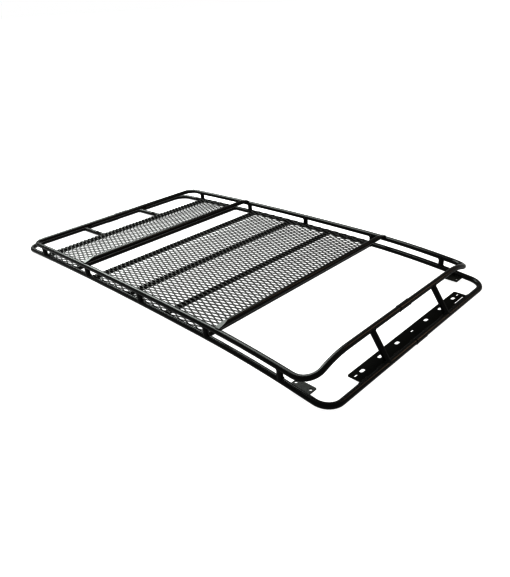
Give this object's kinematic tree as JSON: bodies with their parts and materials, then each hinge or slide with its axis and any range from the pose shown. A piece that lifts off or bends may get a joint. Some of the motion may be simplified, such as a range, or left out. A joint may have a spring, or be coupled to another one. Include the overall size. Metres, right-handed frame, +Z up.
{
  "type": "roof cargo rack",
  "caption": "Full-length welded tube roof rack with low double side rails, expanded metal floor, open sunroof bay and a front light plate.",
  "frame": {"origin": "centre of the rack's footprint, on the plane its two lower end tubes rest on", "axes": "+X to the front of the vehicle along the rack's length, +Y to the vehicle's left, +Z up"},
  "size_m": [2.3526, 1.2434, 0.1531],
  "materials": {
    "tube": "semi-gloss black powder coat",
    "plate": "semi-gloss black powder coat on flat steel plate",
    "mesh": "semi-gloss black powder coat on expanded steel mesh"
  },
  "bodies": {
    "root": {"lower_ring_left": "tube", "upper_ring_left": "tube", "post_left_1": "tube", "post_left_2": "tube", "post_left_3": "tube", "post_left_4": "tube", "post_left_5": "tube", "rear_stub_left": "tube", "front_strut_left": "tube", "mount_tab_left": "plate", "lower_ring_right": "tube", "upper_ring_right": "tube", "post_right_1": "tube", "post_right_2": "tube", "post_right_3": "tube", "post_right_4": "tube", "post_right_5": "tube", "rear_stub_right": "tube", "front_strut_right": "tube", "mount_tab_right": "plate", "sleeve_lower_front": "tube", "sleeve_lower_rear": "tube", "sleeve_upper_front": "tube", "sleeve_upper_rear": "tube", "floor_bar_1": "tube", "floor_bar_2": "tube", "floor_bar_3": "tube", "floor_bar_4": "tube", "floor_bar_5": "tube", "floor_bar_6": "tube", "raised_bar_rear": "tube", "raised_bar_front": "tube", "light_plate": "plate", "mesh_rear": "mesh", "mesh_main": "mesh"}
  },
  "joints": []
}
